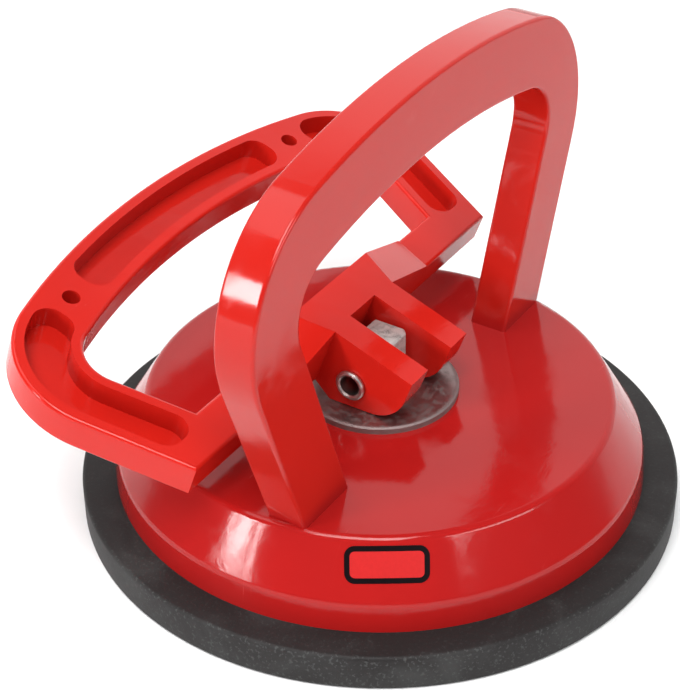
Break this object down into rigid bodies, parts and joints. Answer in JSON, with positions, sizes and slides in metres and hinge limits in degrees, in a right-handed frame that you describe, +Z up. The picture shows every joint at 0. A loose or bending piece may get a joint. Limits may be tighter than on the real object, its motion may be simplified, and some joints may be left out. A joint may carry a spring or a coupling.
{
  "type": "suction lifter",
  "caption": "Single-cup suction lifter: rubber disc under a moulded shell with a fixed arched grip, and a folding cam grip that draws the disc's middle up to hold a smooth tile.",
  "frame": {"origin": "middle of the rubber disc's underside, on the surface it holds", "axes": "+X along the lever's rivet, +Y the way the lever lies when released, +Z up, away from the tile"},
  "size_m": [0.1186, 0.118, 0.0938],
  "materials": {
    "red_plastic": "glossy moulded",
    "rubber": "matte",
    "steel": "dull zinc plated",
    "spring_steel": "bright drawn"
  },
  "bodies": {
    "housing": {"housing": "red_plastic", "top_washer": "steel", "suction_pad": "rubber", "return_spring": "spring_steel"},
    "stud": {"stud": "steel", "pad_plate": "steel", "pivot_rivet": "steel"},
    "lever": {"lever": "red_plastic"}
  },
  "joints": [
    {"name": "stud_lift", "type": "slide", "parent": "housing", "child": "stud", "axis": [0, 0, 1], "range_m": [0, 0.0058], "stiffness_N_per_m": 400, "deforming": ["return_spring", "suction_pad"]},
    {"name": "lever_fold", "type": "hinge", "parent": "stud", "child": "lever", "pos_m": [0, 0, 0.03015], "axis": [1, 0, 0], "range_deg": [0, 70.3]}
  ],
  "couplings": [
    {"joint": "lever_fold", "follows": "stud_lift", "rad_per_m": 211.5}
  ]
}
